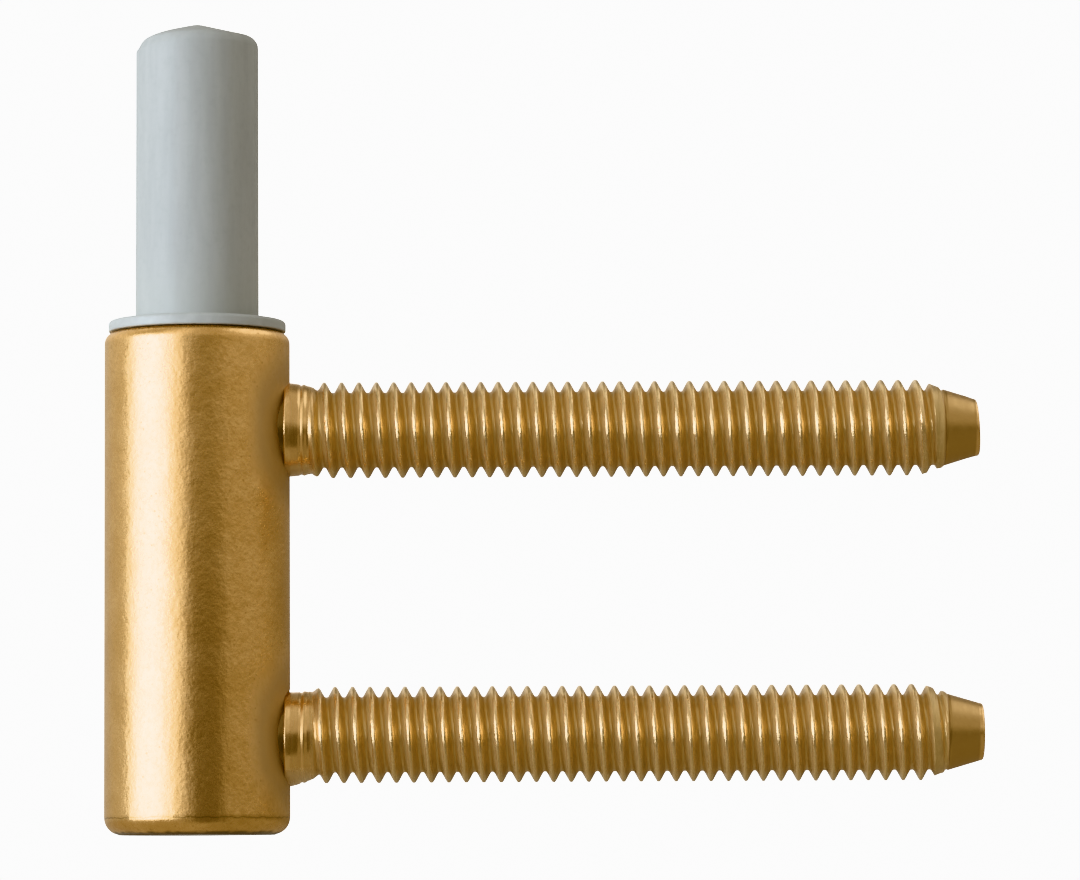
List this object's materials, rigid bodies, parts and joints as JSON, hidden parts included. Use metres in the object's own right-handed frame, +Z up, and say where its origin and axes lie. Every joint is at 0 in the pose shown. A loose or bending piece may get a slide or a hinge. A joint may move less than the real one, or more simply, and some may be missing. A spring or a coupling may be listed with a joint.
{
  "type": "door hinge",
  "caption": "Frame half of a drill-in lift-off door hinge: plated barrel with threaded studs for the frame and a sleeved pivot pin for the leaf.",
  "frame": {"origin": "centre of the barrel's flat foot, on the hinge axis", "axes": "+Z up along the hinge axis to the pin's tip; +X along both studs into the door frame; -Y faces the viewer of the picture"},
  "size_m": [0.0709, 0.015, 0.0659],
  "materials": {
    "plated_steel": "brass-plated steel, tumbled, slightly pitted, semi-bright",
    "plated_stud": "brass-plated steel with rolled thread, bright",
    "pin_steel": "ground",
    "sleeve_plastic": "matte moulded acetal, light grey",
    "washer_plastic": "satin moulded acetal, slightly translucent light grey"
  },
  "bodies": {
    "frame_half": {"barrel": "plated_steel", "upper_stud": "plated_stud", "lower_stud": "plated_stud", "hinge_pin": "pin_steel"},
    "sleeve": {"bearing_sleeve": "sleeve_plastic"},
    "washer": {"thrust_washer": "washer_plastic"}
  },
  "joints": [
    {"name": "sleeve_spin", "type": "hinge", "parent": "frame_half", "child": "sleeve", "pos_m": [0, 0, 0.0506], "axis": [0, 0, 1], "continuous": true},
    {"name": "washer_spin", "type": "hinge", "parent": "frame_half", "child": "washer", "pos_m": [0, 0, 0.0411], "axis": [0, 0, 1], "continuous": true}
  ]
}
